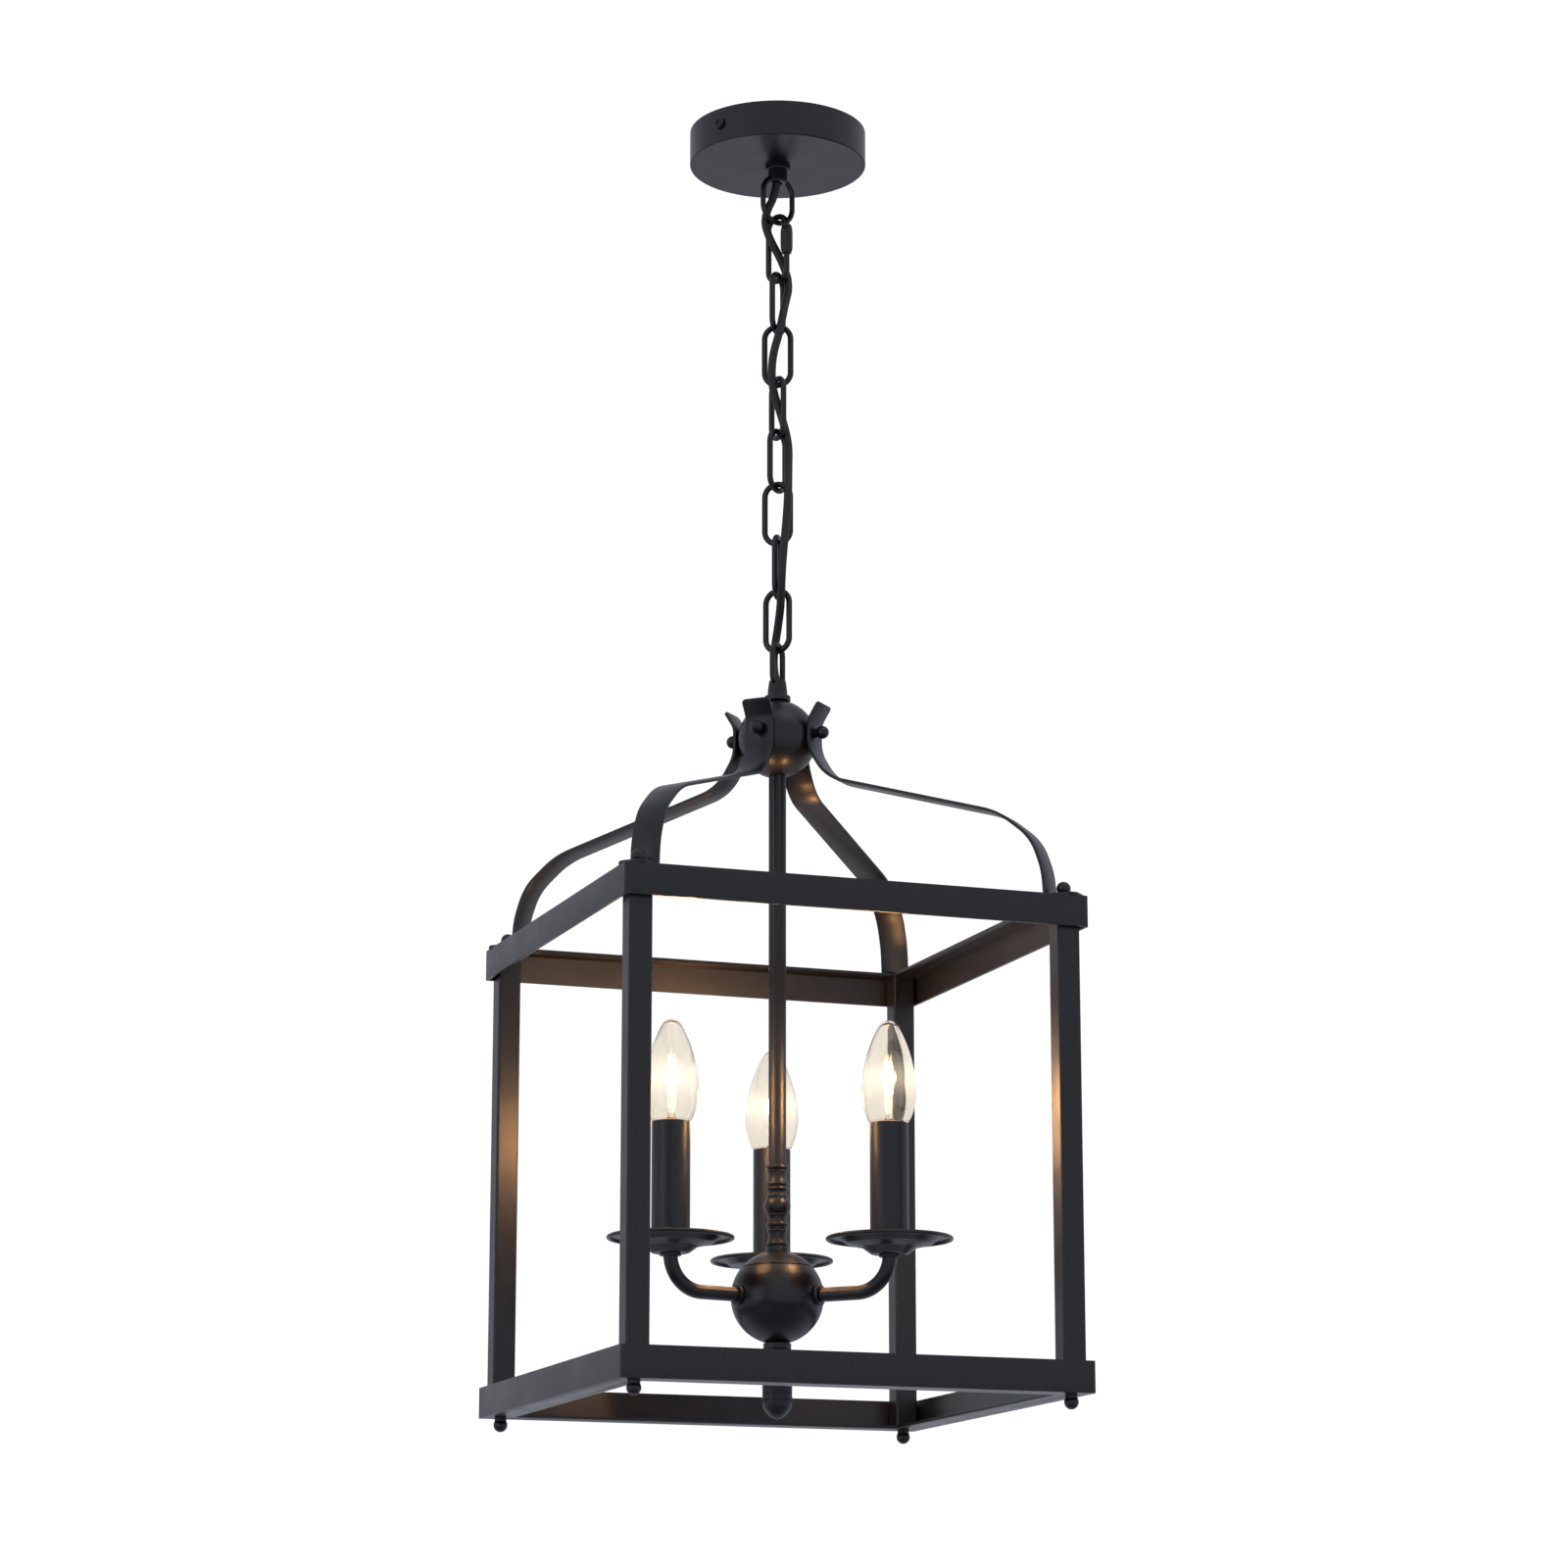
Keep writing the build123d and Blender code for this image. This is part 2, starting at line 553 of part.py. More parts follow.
def at_lamp(turn, shape):
    """Place a shape made on the Z axis on one lamp's axis."""
    return Rot(0, 0, turn) * Pos(ARM_REACH, 0, 0) * shape


def drip_pan():
    """Spun pan: flat seat, cup, shoulder, hollow and a rolled rim."""
    line = FilletPolyline((ARM_RADIUS + 0.05, PAN_SEAT), (11.6, PAN_SEAT), (18.0, -769.4), (27.6, -767.2),
                          (32.4, PAN_RIM_HEIGHT), (PAN_RIM_RADIUS, PAN_RIM_HEIGHT), radius=[4.0, 4.0, 3.0, 4.0])
    pan = revolve(Plane.XZ * make_face(offset(line, PAN_WALL, side=Side.LEFT)), Axis.Z)
    pan += Pos(0, 0, PAN_RIM_HEIGHT - 0.4) * Torus(PAN_RIM_RADIUS, 1.25)
    return pan + rod(6.8, PAN_SEAT - 1.6, PAN_SEAT + 0.4, ARM_RADIUS + 0.05)


def candle_sleeve():
    return rod(SLEEVE_RADIUS, SLEEVE_BOTTOM, SLEEVE_TOP, SLEEVE_BORE)


def holder_stem():
    """Pipe that screws over the arm, clamps the pan with its hexagon and carries the lampholder."""
    seat = PAN_SEAT + PAN_WALL
    stem = rod(6.4, seat, HOLDER_BOTTOM) + hex_nut(14.0, seat, seat + 4.5, ARM_RADIUS)
    stem -= rod(ARM_RADIUS, seat - 1, ARM_TOP)
    return stem - rod(ARM_BORE, ARM_TOP - 1, HOLDER_BOTTOM + 1)


def lamp_holder():
    cup = rod(HOLDER_RADIUS, HOLDER_BOTTOM, HOLDER_TOP)
    cup = fillet(cup.edges().sort_by(Axis.Z)[0], 1.5)
    cup -= rod(HOLDER_BORE, HOLDER_BOTTOM + 3.5, HOLDER_TOP + 1)
    return cup - rod(2.4, HOLDER_BOTTOM - 1, HOLDER_BOTTOM + 4)


def bulb_outline(wall):
    """Candle-shaped glass, drawn in by a wall: tip, long upper side, belly, shoulder, neck."""
    sides = [(4.3, 6.5, 1.06), (42.7, GLASS_RADIUS, 2.82), (18.9, 12.9, 1.2), (1.3, 10.8, 0.2), (3.8, CAP_RADIUS, 0)]
    drawn = [(height, radius - wall, bulge) for height, radius, bulge in sides]
    return turned(GLASS_TIP, 0, drawn)


def bulb_glass():
    cavity = Pos(0, 0, -GLASS_WALL) * bulb_outline(GLASS_WALL)
    return bulb_outline(0.0) - cavity


FILAMENT_COUNT = 4
FILAMENT_LOW = -676.0
FILAMENT_HIGH = -646.0


def bulb_base():
    """Screw cap, contact, glass stem and upright filaments."""
    base = rod(CAP_RADIUS, CAP_BOTTOM, GLASS_BOTTOM) + rod(2.4, CAP_BOTTOM - 2.6, CAP_BOTTOM)
    base += turned(FILAMENT_LOW, 2.6, [(FILAMENT_LOW - GLASS_BOTTOM, 4.4, 0)])
    for number in range(FILAMENT_COUNT):
        stick = Pos(1.7, 0, 0) * rod(0.7, FILAMENT_LOW - 0.5, FILAMENT_HIGH)
        base += Rot(0, 0, 45 + number * 360 / FILAMENT_COUNT) * stick
    return base


def finial():
    """Neck ring and bullet-shaped nut under the hub."""
    neck = [(3.4, 9.0, 0), (0.5, 8.5, 0), (0.4, 8.9, 0), (29.0, 9.55, 0.3)]
    straight = sum(segment[0] for segment in neck)
    tip = [(FINIAL_TOP - FINIAL_TIP - straight, 0.4, 3.4)]
    return turned(FINIAL_TOP, 9.0, neck + tip) - rod(PIPE_RADIUS, FINIAL_TOP - 20.5, FINIAL_TOP + 1)


def inner_wires():
    """Cable in the pipe, and one lead through each arm to its holder."""
    solids = [rod(2.4, HUB_CENTRE + 3, FLEX_POINTS[-1][2])]
    for turn in ARM_TURNS:
        points = [(2.2, 0, HUB_CENTRE), (ARM_REACH, 0, HUB_CENTRE), (ARM_REACH, 0, HOLDER_BOTTOM + 3)]
        solids.append(Rot(0, 0, turn) * tube_along(points, ARM_BEND, 0.9))
    return solids


# ---------------------------------------------------------------- build

def main():
    os.makedirs("parts", exist_ok=True)
    save("ceiling_bar", ceiling_bar())
    save("tab_bar", tab_bar())
    save("bracket_screws", *bracket_screws())
    save("canopy", canopy())
    save("canopy_nipple", canopy_nipple())
    save("nipple_nut", *nipple_nut())
    save("canopy_collar", canopy_collar())
    save("canopy_loop", canopy_loop())
    save("wire_nuts", *[wire_nut(turn) for turn in WIRE_NUT_TURNS])
    save("canopy_leads", *[canopy_lead(turn) for turn in WIRE_NUT_TURNS])

    save("quick_link", quick_link())
    save("quick_link_sleeve", quick_link_sleeve())
    for number in range(len(LINK_TURNS)):
        save(f"chain_link_{number + 1}", chain_link(number))

    flex_radii = radii_for(FLEX_POINTS)
    flex = tube_along(FLEX_POINTS, flex_radii, FLEX_RADIUS)
    print("flex radii", [round(radius, 1) for radius in flex_radii])
    path = FilletPolyline(*FLEX_POINTS, radius=flex_radii)
    print("flex length", round(path.length, 1), "volume ratio",
          round(flex.volume / (path.length * 3.14159265 * FLEX_RADIUS ** 2), 4))
    save("supply_flex", flex)

    save("lantern_loop", lantern_loop())
    save("loop_washer", loop_washer())
    save("threaded_pipe", threaded_pipe())
    save("top_ball", top_ball())
    for number, turn in enumerate(STRAP_TURNS):
        save(f"strap_{number + 1}", strap(turn))
    save("strap_screws", *strap_screws())
    save("top_ball_nuts", *top_ball_nuts())
    save("top_ring", angle_ring(TOP_RING_TOP - ANGLE_LEG, TOP_RING_TOP - ANGLE_THICKNESS))
    save("bottom_ring", angle_ring(BOTTOM_RING_BOTTOM, BOTTOM_RING_BOTTOM))
    for number, (x, y) in enumerate(corner_places()):
        save(f"post_{number + 1}", post(x, y))
    save("post_end_plugs", *post_end_plugs())
    save("bottom_ball_nuts", *bottom_ball_nuts())

    save("centre_rod", centre_rod())
    save("column", column())
    save("hub_cap", hub_cap())
    save("hub_body", hub_body())
    save("arm_collars", *[arm_collar(turn) for turn in ARM_TURNS])
    save("candle_sleeves", *[at_lamp(turn, candle_sleeve()) for turn in ARM_TURNS])
    save("holder_stems", *[at_lamp(turn, holder_stem()) for turn in ARM_TURNS])
    save("lamp_holders", *[at_lamp(turn, lamp_holder()) for turn in ARM_TURNS])
    pan, glass, base = drip_pan(), bulb_glass(), bulb_base()
    for number, turn in enumerate(ARM_TURNS):
        save(f"arm_{number + 1}", arm(turn))
        save(f"drip_pan_{number + 1}", at_lamp(turn, pan))
        save(f"bulb_glass_{number + 1}", at_lamp(turn, glass))
        save(f"bulb_base_{number + 1}", at_lamp(turn, base))
    save("finial", finial())
    save("inner_wires", *inner_wires())


main()
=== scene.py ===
"""Hanging cage lantern on a chain: finishes, supply flex, candle bulbs and studio over its fixed frame."""
import logging
from dataclasses import dataclass, field
from enum import Enum
from math import cos, exp, pi, radians, sin

import bpy
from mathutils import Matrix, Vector


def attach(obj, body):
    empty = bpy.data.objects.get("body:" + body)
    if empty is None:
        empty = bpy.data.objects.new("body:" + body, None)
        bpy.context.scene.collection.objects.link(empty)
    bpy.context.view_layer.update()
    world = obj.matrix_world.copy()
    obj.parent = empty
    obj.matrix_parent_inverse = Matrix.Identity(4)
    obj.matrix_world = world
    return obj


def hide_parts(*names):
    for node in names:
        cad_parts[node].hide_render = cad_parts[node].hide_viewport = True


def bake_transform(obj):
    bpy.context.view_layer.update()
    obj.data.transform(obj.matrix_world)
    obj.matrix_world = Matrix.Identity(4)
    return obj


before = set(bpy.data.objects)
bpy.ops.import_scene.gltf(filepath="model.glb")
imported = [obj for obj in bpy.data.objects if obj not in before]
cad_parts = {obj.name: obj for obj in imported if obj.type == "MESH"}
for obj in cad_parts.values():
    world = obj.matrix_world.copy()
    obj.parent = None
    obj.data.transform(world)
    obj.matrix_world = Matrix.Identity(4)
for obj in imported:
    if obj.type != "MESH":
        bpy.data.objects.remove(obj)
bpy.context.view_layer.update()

LOG = logging.getLogger("lantern")
# painted glow: attribute that makes the bulb glass itself emit light, though only the filaments burn
PAINTED_GLOW_LEVEL = "painted_glow_level"
BULB_TURNS = (72.8, 192.8, 312.8)
Place = tuple[float, float, float]
Colour = tuple[float, float, float, float]
Outline = list[tuple[float, float]]


def mm(value: float) -> float:
    """Millimetres to metres."""
    return value / 1000.0


# ------------------------------------------------------------------ finishes


class Pattern(Enum):
    """Kinds of fine relief that a finish can carry."""

    SAND = "sand"
    MOULDED = "moulded"
    DRAWN = "drawn"


class Bench:
    """A material's nodes, laid out one after another.

    Args:
        name: The material's name.
    """

    def __init__(self, name: str) -> None:
        """Start an empty material with its shader and output."""
        self.material = bpy.data.materials.new(name)
        self.material.use_nodes = True
        self.nodes = self.material.node_tree.nodes
        self.links = self.material.node_tree.links
        self.nodes.clear()
        self.shader = self.nodes.new("ShaderNodeBsdfPrincipled")
        self.output = self.nodes.new("ShaderNodeOutputMaterial")
        self.links.new(self.shader.outputs["BSDF"], self.output.inputs["Surface"])
        self.place = self.nodes.new("ShaderNodeTexCoord").outputs["Object"]

    def noise(self, scale: float, detail: float = 2.0, stretch: Place = (1.0, 1.0, 1.0)) -> bpy.types.NodeSocket:
        """Noise on the piece's own coordinates.

        Args:
            scale: Cells in a metre.
            detail: Octaves of finer noise.
            stretch: Scale along each axis, for a drawn or turned grain.

        Returns:
            The noise value's socket.
        """
        mapping = self.nodes.new("ShaderNodeMapping")
        mapping.inputs["Scale"].default_value = stretch
        self.links.new(self.place, mapping.inputs["Vector"])
        noise = self.nodes.new("ShaderNodeTexNoise")
        noise.inputs["Scale"].default_value = scale
        noise.inputs["Detail"].default_value = detail
        self.links.new(mapping.outputs["Vector"], noise.inputs["Vector"])
        return noise.outputs["Fac"]

    def spread(self, value: bpy.types.NodeSocket, low: float, high: float) -> bpy.types.NodeSocket:
        """Map a noise value onto a range.

        Args:
            value: Socket with values around one half.
            low: Result at the low end.
            high: Result at the high end.

        Returns:
            The mapped value's socket.
        """
        node = self.nodes.new("ShaderNodeMapRange")
        node.inputs["From Min"].default_value = 0.3
        node.inputs["From Max"].default_value = 0.7
        node.inputs["To Min"].default_value = low
        node.inputs["To Max"].default_value = high
        self.links.new(value, node.inputs["Value"])
        return node.outputs["Result"]

    def blend(self, factor: bpy.types.NodeSocket, first: Colour, second: Colour) -> bpy.types.NodeSocket:
        """Mix two colours by a value.

        Args:
            factor: Socket with values around one half.
            first: Colour at low values.
            second: Colour at high values.

        Returns:
            The mixed colour's socket.
        """
        ramp = self.nodes.new("ShaderNodeValToRGB")
        ramp.color_ramp.elements[0].position = 0.3
        ramp.color_ramp.elements[0].color = first
        ramp.color_ramp.elements[1].position = 0.7
        ramp.color_ramp.elements[1].color = second
        self.links.new(factor, ramp.inputs["Fac"])
        return ramp.outputs["Color"]

    def relief(self, heights: list[tuple[bpy.types.NodeSocket, float]], strength: float) -> None:
        """Add bump layers to the shader.

        Args:
            heights: Height sockets, each with its depth in metres.
            strength: Strength of every layer.
        """
        normal = None
        for height, depth in heights:
            bump = self.nodes.new("ShaderNodeBump")
            bump.inputs["Strength"].default_value = strength
            bump.inputs["Distance"].default_value = depth
            self.links.new(height, bump.inputs["Height"])
            if normal is not None:
                self.links.new(normal, bump.inputs["Normal"])
            normal = bump.outputs["Normal"]
        if normal is not None:
            self.links.new(normal, self.shader.inputs["Normal"])

    def drive(self, name: str, value: bpy.types.NodeSocket) -> None:
        """Link a socket to one of the shader's inputs."""
        self.links.new(value, self.shader.inputs[name])


@dataclass(frozen=True)
class Surface:
    """An opaque finish with colour variation, uneven gloss and fine relief.

    Args:
        name: The material's name.
        dark: Colour in the low spots.
        light: Colour in the high spots.
        smooth: Roughness where it is glossiest.
        rough: Roughness where it is dullest.
        pattern: Kind of relief.
        grain: Relief cells in a metre.
        depth: Relief depth in metres.
        metallic: One for bare metal.
        strength: Strength of the relief.
    """

    name: str
    dark: Colour
    light: Colour
    smooth: float
    rough: float
    pattern: Pattern
    grain: float
    depth: float
    metallic: float = 0.0
    strength: float = 0.5

    def material(self) -> bpy.types.Material:
        """Build the finish."""
        bench = Bench(self.name)
        stretch = (1.0, 1.0, 0.04) if self.pattern is Pattern.DRAWN else (1.0, 1.0, 1.0)
        fine = bench.noise(self.grain, 3.0, stretch)
        wide = bench.noise(self.grain * 0.17, 3.0, stretch)
        patchy = bench.noise(38.0, 4.0)
        bench.drive("Base Color", bench.blend(wide, self.dark, self.light))
        bench.drive("Roughness", bench.spread(patchy, self.smooth, self.rough))
        bench.shader.inputs["Metallic"].default_value = self.metallic
        layers = [(fine, self.depth)]
        if self.pattern is Pattern.SAND:
            layers.append((wide, self.depth * 2.5))
        bench.relief(layers, self.strength)
        return bench.material


@dataclass(frozen=True)
class ClearGlass:
    """Blown glass with a faint ripple; where the piece carries the glow attribute, the glass itself emits painted
    glow that stands in for the glare of the filaments.
    """

    name: str
    tint: Colour
    painted_glow_colour: Colour
    ripple: float

    def material(self) -> bpy.types.Material:
        """Build the glass; the piece's own attribute sets how much painted glow each spot of the glass emits."""
        bench = Bench(self.name)
        bench.shader.inputs["Base Color"].default_value = self.tint
        bench.shader.inputs["Transmission Weight"].default_value = 1.0
        bench.shader.inputs["IOR"].default_value = 1.45
        bench.shader.inputs["Emission Color"].default_value = self.painted_glow_colour
        smear = bench.noise(120.0, 3.0)
        bench.drive("Roughness", bench.spread(smear, 0.0, 0.035))
        # painted glow: the glass emits by the attribute, standing in for the glare round the filaments
        level = bench.nodes.new("ShaderNodeAttribute")
        level.attribute_name = PAINTED_GLOW_LEVEL
        bench.drive("Emission Strength", level.outputs["Fac"])
        bench.relief([(bench.noise(70.0, 2.0, (1.0, 1.0, 0.3)), self.ripple)], 0.6)
        return bench.material


@dataclass(frozen=True)
class Glow:
    """A lit filament: hottest in patches."""

    name: str
    cool: Colour
    hot: Colour
    power: float

    def material(self) -> bpy.types.Material:
        """Build the glowing finish."""
        bench = Bench(self.name)
        flicker = bench.noise(900.0, 2.0)
        bench.drive("Emission Color", bench.blend(flicker, self.cool, self.hot))
        bench.shader.inputs["Base Color"].default_value = self.cool
        bench.shader.inputs["Roughness"].default_value = 0.6
        bench.shader.inputs["Emission Strength"].default_value = self.power
        return bench.material


SANDY_BLACK = Surface("sandy_black_coat", (0.0050, 0.0052, 0.0070, 1), (0.0085, 0.0087, 0.0115, 1), 0.28, 0.36,
                      Pattern.SAND, 1500.0, 0.00002)
CHAIN_BLACK = Surface("chain_black_coat", (0.0022, 0.0022, 0.0026, 1), (0.0045, 0.0045, 0.0052, 1), 0.26, 0.36,
                      Pattern.MOULDED, 1100.0, 0.00002)
FLEX_BLACK = Surface("flex_sheath", (0.0055, 0.0055, 0.0062, 1), (0.0095, 0.0095, 0.0102, 1), 0.42, 0.55,
                     Pattern.MOULDED, 1200.0, 0.00002)
ZINC = Surface("zinc_plate", (0.42, 0.42, 0.40, 1), (0.6, 0.6, 0.57, 1), 0.26, 0.42, Pattern.DRAWN, 900.0,
               0.00002, metallic=1.0)
CONNECTOR_ORANGE = Surface("connector_plastic", (0.62, 0.2, 0.02, 1), (0.72, 0.26, 0.035, 1), 0.35, 0.5,
                           Pattern.MOULDED, 700.0, 0.00003)
LEAD_SLEEVE = Surface("lead_insulation", (0.6, 0.58, 0.5, 1), (0.7, 0.68, 0.6, 1), 0.4, 0.5, Pattern.MOULDED,
                      900.0, 0.00002)
HOLDER_CREAM = Surface("holder_plastic", (0.5, 0.46, 0.36, 1), (0.6, 0.56, 0.45, 1), 0.35, 0.5,
                       Pattern.MOULDED, 800.0, 0.00003)
CAP_NICKEL = Surface("cap_nickel", (0.5, 0.48, 0.42, 1), (0.66, 0.63, 0.56, 1), 0.2, 0.34, Pattern.DRAWN, 900.0,
                     0.00001, metallic=1.0)
# the bulb glass carries painted glow; the stem glass has no glow attribute and so emits nothing
BULB_GLASS_WITH_PAINTED_GLOW = ClearGlass("bulb_glass", (0.885, 0.845, 0.78, 1), (1.0, 0.84, 0.60, 1), 0.0003)
STEM_GLASS = ClearGlass("stem_glass", (1.0, 0.97, 0.92, 1), (1.0, 0.84, 0.60, 1), 0.0001)
FILAMENT = Glow("filament_glow", (1.0, 0.66, 0.30, 1), (1.0, 0.90, 0.66, 1), 60.0)


# ------------------------------------------------------------------ tools of the trade


def only(piece: bpy.types.Object) -> None:
    """Select one piece and nothing else."""
    bpy.ops.object.select_all(action="DESELECT")
    piece.select_set(True)
    bpy.context.view_layer.objects.active = piece


def dress(piece: bpy.types.Object, material: bpy.types.Material) -> None:
    """Give a piece one finish all over."""
    piece.data.materials.clear()
    piece.data.materials.append(material)


def new_piece(name: str, verts: list[Place], edges: list[tuple[int, int]],
              faces: list[tuple[int, ...]]) -> bpy.types.Object:
    """Make a mesh object in the scene.

    Args:
        name: The piece's name.
        verts: Its points, in metres.
        edges: Loose edges, for an outline that is spun later.
        faces: Its faces.

    Returns:
        The new object.
    """
    mesh = bpy.data.meshes.new(name)
    mesh.from_pydata(verts, edges, faces)
    piece = bpy.data.objects.new(name, mesh)
    bpy.context.scene.collection.objects.link(piece)
    return piece


def bulged(start: tuple[float, float], end: tuple[float, float], bulge: float, steps: int) -> Outline:
    """Points along an arc between two points of an outline, without the first.

    Args:
        start: Radius and height where the arc begins.
        end: Radius and height where it ends.
        bulge: How far its middle stands outward of the straight line.
        steps: Pieces the arc is cut into.

    Returns:
        Radius and height of each point.
    """
    run = Vector(end) - Vector(start)
    if abs(bulge) < 1e-9:
        return [end]
    side = Vector((-run.y, run.x)).normalized()
    points = []
    for step in range(1, steps + 1):
        along = step / steps
        lift = 4 * bulge * along * (1 - along)
        points.append(tuple(Vector(start) + run * along + side * lift))
    return points


def spun(name: str, outline: Outline, centre: tuple[float, float], steps: int) -> bpy.types.Object:
    """Turn an outline about an upright axis.

    Args:
        name: The piece's name.
        outline: Radius and height of each point, in metres.
        centre: Where the axis stands.
        steps: Segments round the axis.

    Returns:
        The turned piece.
    """
    verts = [(centre[0] + radius, centre[1], height) for radius, height in outline]
    edges = [(place, place + 1) for place in range(len(verts) - 1)]
    piece = new_piece(name, verts, edges, [])
    only(piece)
    bpy.ops.object.mode_set(mode="EDIT")
    bpy.ops.mesh.select_all(action="SELECT")
    bpy.ops.mesh.spin(steps=steps, angle=2 * pi, center=(centre[0], centre[1], 0.0), axis=(0.0, 0.0, 1.0))
    bpy.ops.mesh.select_all(action="SELECT")
    bpy.ops.mesh.remove_doubles(threshold=1e-6)
    bpy.ops.mesh.normals_make_consistent(inside=False)
    bpy.ops.object.mode_set(mode="OBJECT")
    bpy.ops.object.shade_smooth_by_angle(angle=radians(35))
    return piece


def eased_copy(node: str, radius: float, segments: int = 2) -> bpy.types.Object:
    """Copy a bar's shape and ease its sharp edges, as a coat of powder does.

    Args:
        node: The bar in the frame.
        radius: Width of the eased edge in metres.
        segments: Facets across it.

    Returns:
        The eased bar, which stands for the node.
    """
    piece = bpy.data.objects.new(f"{node}_eased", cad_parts[node].data.copy())
    bpy.context.scene.collection.objects.link(piece)
    only(piece)
    bpy.ops.object.mode_set(mode="EDIT")
    bpy.ops.mesh.select_all(action="SELECT")
    bpy.ops.mesh.remove_doubles(threshold=1e-6)
    bpy.ops.mesh.dissolve_limited(angle_limit=radians(0.5))
    bpy.ops.object.mode_set(mode="OBJECT")
    bevel = piece.modifiers.new("eased_edges", "BEVEL")
    bevel.width = radius
    bevel.segments = segments
    bevel.limit_method = "ANGLE"
    bevel.angle_limit = radians(40)
    bevel.use_clamp_overlap = True
    bpy.ops.object.modifier_apply(modifier=bevel.name)
    bpy.ops.object.shade_smooth_by_angle(angle=radians(35))
    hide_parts(node)
    return piece


# ------------------------------------------------------------------ supply flex


@dataclass
class SupplyFlex:
    """Round flex woven down the chain, in one span for each swinging joint that it crosses."""

    diameter: float = mm(5.6)
    sides: int = 18
    route: list[Place] = field(default_factory=lambda: [
        (0.0, 0.0, -0.021), (0.0, 0.0, -0.041), (-0.0088, 0.0037, -0.060), (-0.0063, 0.0015, -0.075),
        (0.0041, 0.0015, -0.092), (0.0083, -0.0014, -0.109), (0.0029, -0.0051, -0.127), (-0.0015, -0.0089, -0.145),
        (-0.0064, -0.0066, -0.164), (-0.0057, -0.0037, -0.184), (0.0021, -0.0034, -0.205),
        (0.0073, -0.0022, -0.223), (0.0058, -0.0052, -0.241), (0.0038, -0.0106, -0.260),
        (0.0022, -0.0110, -0.281), (-0.0010, -0.0139, -0.302), (-0.0020, -0.0134, -0.320),
        (0.0002, -0.0061, -0.336), (0.0017, 0.0043, -0.351), (0.0003, 0.0082, -0.366), (-0.0015, 0.0033, -0.380),
        (0.0, 0.0, -0.391), (0.0, 0.0, -0.399)])
    chain: list[str] = field(default_factory=lambda: [
        "ceiling_end", "quick_link", "link_1", "link_2", "link_3", "link_4", "link_5", "link_6", "link_7", "lantern"])
    first_joint: float = -0.06465
    second_joint: float = -0.1066
    third_joint: float = -0.1438
    pitch: float = 0.0372
    reach: float = 0.012

    def joint_heights(self) -> list[float]:
        """Height of each joint that the flex crosses, from the top down."""
        links = [self.third_joint - self.pitch * number for number in range(7)]
        return [self.first_joint, self.second_joint] + links

    def centreline(self) -> list[Vector]:
        """Points of the flex's own smooth line, from the ceiling down."""
        curve = bpy.data.curves.new("flex_route", "CURVE")
        curve.dimensions = "3D"
        curve.resolution_u = 14
        spline = curve.splines.new("NURBS")
        spline.points.add(len(self.route) - 1)
        for point, place in zip(spline.points, self.route):
            point.co = (*place, 1.0)
        spline.order_u = 3
        spline.use_endpoint_u = True
        holder = bpy.data.objects.new("flex_route", curve)
        mesh = bpy.data.meshes.new_from_object(holder)
        line = [vertex.co.copy() for vertex in mesh.vertices]
        bpy.data.objects.remove(holder)
        bpy.data.meshes.remove(mesh)
        return line if line[0].z > line[-1].z else line[::-1]

    def cut(self, line: list[Vector]) -> list[list[int]]:
        """Split the line half-way between joints.

        Args:
            line: Points from the top down.

        Returns:
            For each span, the numbers of its points; neighbours share one.
        """
        joints = self.joint_heights()
        heights = [(upper + lower) / 2 for upper, lower in zip(joints, joints[1:])]
        marks = [0]
        for height in heights:
            marks.append(min(range(len(line)), key=lambda number: abs(line[number].z - height)))
        marks.append(len(line) - 1)
        return [list(range(start, end + 1)) for start, end in zip(marks, marks[1:])]

    def rings(self, line: list[Vector]) -> list[list[Vector]]:
        """One ring of points round every point of the line, without twist.

        Args:
            line: Points from the top down.

        Returns:
            The rings, in the line's order.
        """
        across = Vector((1.0, 0.0, 0.0))
        rings = []
        for number, point in enumerate(line):
            before = line[max(number - 1, 0)]
            after = line[min(number + 1, len(line) - 1)]
            forward = (after - before).normalized()
            across = (across - forward * across.dot(forward)).normalized()
            side = forward.cross(across)
            ring = []
            for step in range(self.sides):
                turn = 2 * pi * step / self.sides
                ring.append(point + (across * cos(turn) + side * sin(turn)) * self.diameter / 2)
            rings.append(ring)
        return rings

    def span(self, number: int, points: list[int], rings: list[list[Vector]]) -> bpy.types.Object:
        """Make one closed length of tube.

        Args:
            number: Which span it is.
            points: Numbers of its rings.
            rings: All the rings.

        Returns:
            The span's object.
        """
        verts = [tuple(place) for point in points for place in rings[point]]
        faces = []
        for row in range(len(points) - 1):
            for step in range(self.sides):
                beside = (step + 1) % self.sides
                low = row * self.sides
                faces.append((low + step, low + beside, low + self.sides + beside, low + self.sides + step))
        faces.append(tuple(range(self.sides - 1, -1, -1)))
        last = (len(points) - 1) * self.sides
        faces.append(tuple(last + step for step in range(self.sides)))
        piece = new_piece(f"flex_span_{number + 1}", verts, [], faces)
        only(piece)
        bpy.ops.object.mode_set(mode="EDIT")
        bpy.ops.mesh.select_all(action="SELECT")
        bpy.ops.mesh.normals_make_consistent(inside=False)
        bpy.ops.object.mode_set(mode="OBJECT")
        bpy.ops.object.shade_smooth_by_angle(angle=radians(40))
        return piece

    def build(self, sheath: bpy.types.Material) -> None:
        line = self.centreline()
        rings = self.rings(line)
        for number, points in enumerate(self.cut(line)):
            piece = self.span(number, points, rings)
            dress(piece, sheath)
            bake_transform(piece)
            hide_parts("supply_flex")


# ------------------------------------------------------------------ candle bulbs


